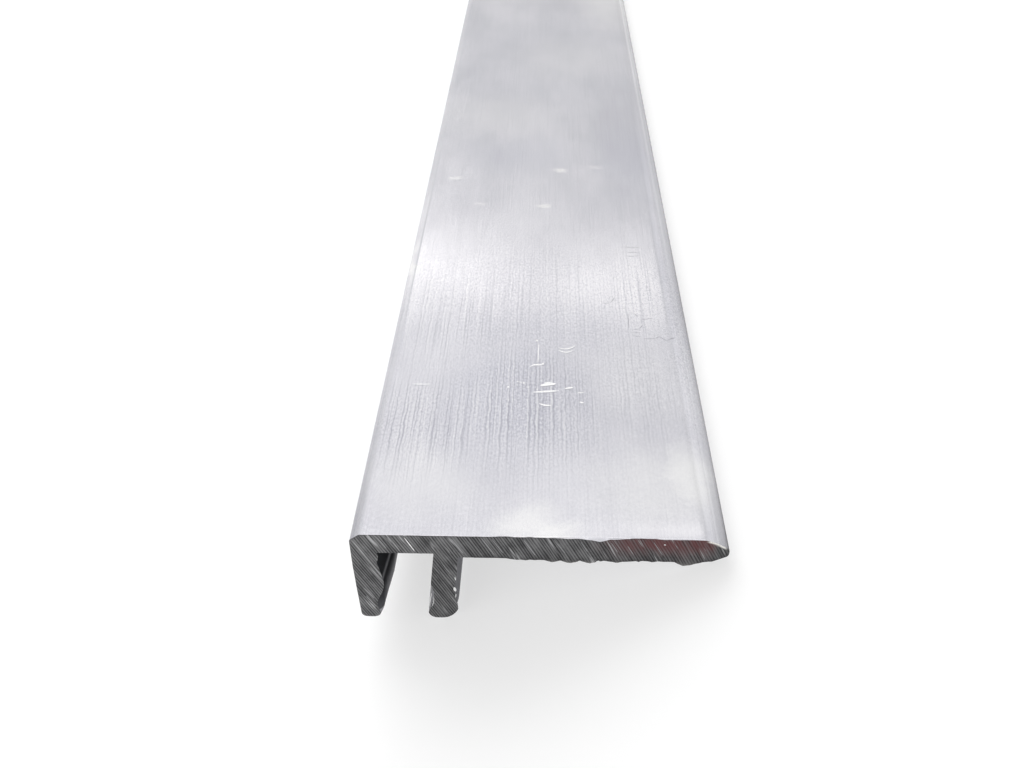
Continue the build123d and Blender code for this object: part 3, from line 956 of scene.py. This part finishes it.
def makeSky():
    # one strength for each kind of ray: 1 to the camera, the mirrored sky to the metal, the back light to
    # the rest
    world = bpy.data.worlds.new("sky")
    world.use_nodes = True
    bpy.context.scene.world = world
    nodes = Nodes(world.node_tree)
    towards = nodes.add("ShaderNodeTexCoord").outputs["Generated"]
    direction = nodes.add("ShaderNodeSeparateXYZ", {0: towards}).outputs
    mirrored = nodes.ranged(direction["Z"], *studio["skyRise"], studio["skyLow"], studio["skyHigh"])
    left = nodes.ranged(direction["X"], *studio["leftOf"], studio["skyLeft"], 0.0)
    mirrored = nodes.math("ADD", mirrored, left)
    right = nodes.ranged(direction["X"], *studio["rightOf"])
    lowRight = nodes.math("MULTIPLY", right, nodes.ranged(direction["Z"], *studio["rightUnder"], 1.0, 0.0))
    mirrored = nodes.math("MULTIPLY_ADD", lowRight, studio["skyRight"], mirrored)
    behind = nodes.vector("DOT_PRODUCT", towards, studio["backAim"])["Value"]
    light = nodes.ranged(behind, *studio["backFrom"], studio["frontLight"], studio["backLight"])
    path = nodes.add("ShaderNodeLightPath").outputs
    shown = nodes.math("MAXIMUM", path["Is Camera Ray"], path["Is Transmission Ray"])
    glossy = nodes.math("MULTIPLY", path["Is Glossy Ray"], mirrored)
    neither = nodes.math("SUBTRACT", 1.0, nodes.math("MAXIMUM", shown, path["Is Glossy Ray"]))
    diffuse = nodes.math("MULTIPLY", neither, light)
    strength = nodes.math("ADD", nodes.math("MAXIMUM", shown, glossy), diffuse)
    inputs = {"Color": studio["white"], "Strength": strength}
    background = nodes.add("ShaderNodeBackground", inputs).outputs[0]
    nodes.add("ShaderNodeOutputWorld", {"Surface": background})


def placed(name, data, place, axes):
    # a lamp or a camera at a place, its own axes as columns
    made = bpy.data.objects.new(name, data)
    made.matrix_world = Matrix.Translation(place) @ Matrix(axes.tolist()).to_4x4()
    bpy.context.scene.collection.objects.link(made)
    return made


def makeLamp(name, target, aside, elevation, distance, width, height, radiance):
    # a rectangular softbox facing a point of the broad face, square to the section, as bright as the
    # radiance says
    lamp = bpy.data.lights.new(name, "AREA")
    lamp.shape = "RECTANGLE"
    lamp.size = width
    lamp.size_y = height
    lamp.color = lampColour
    lamp.energy = math.pi * width * height * radiance
    raised = math.radians(elevation)
    toLamp = np.array([aside / distance, math.cos(raised), math.sin(raised)])
    toLamp /= np.linalg.norm(toLamp)
    across = np.cross(toLamp, (0, 0, 1))
    across /= np.linalg.norm(across)
    axes = turn @ np.stack([-across, np.cross(toLamp, -across), toLamp], axis=1)
    made = placed(name, lamp, toRow(target) + turn @ toLamp * distance, axes)
    made.visible_camera = False


# The camera as the photograph has it, in section millimetres and degrees: ahead of the sawn end, in from
# the lip, above the broad face; turned left, pitched down and rolled; focal length and frame width in
# pixels, sensor width in millimetres, near clip in metres
photoCamera = dict(
    ahead=73.52, fromLip=20.23, above=75.72, turned=2.19, down=37.11, rolled=0.66,
    focal=1000.0, frameWidth=1024.0, sensorWidth=36.0, clipStart=0.005,
)


def makeCamera():
    # forward from the turn and pitch, right level with the face, both rolled about forward, then tilted
    # with the bar
    c = photoCamera
    turned, down, rolled = (math.radians(c[k]) for k in ("turned", "down", "rolled"))
    forward = np.array([-math.sin(turned) * math.cos(down), math.cos(turned) * math.cos(down),
                        -math.sin(down)])
    level = np.array([math.cos(turned), math.sin(turned), 0])
    upright = np.cross(level, forward)
    right = level * math.cos(rolled) - upright * math.sin(rolled)
    up = np.cross(right, forward)
    camera = bpy.data.cameras.new("camera")
    camera.sensor_width = c["sensorWidth"]
    camera.lens = c["focal"] / c["frameWidth"] * c["sensorWidth"]
    camera.clip_start = c["clipStart"]
    axes = turn @ np.stack([right, up, -forward], axis=1)
    bpy.context.scene.camera = placed("camera", camera, toRow((c["fromLip"], -c["ahead"], c["above"])), axes)


makeFloor()
makeSky()
for name, settings in lamps.items():
    makeLamp(name, *settings)
makeCamera()
bpy.context.scene.view_settings.view_transform = "Standard"
print("floor, sky, lamps and camera in place")

bpy.context.view_layer.update()
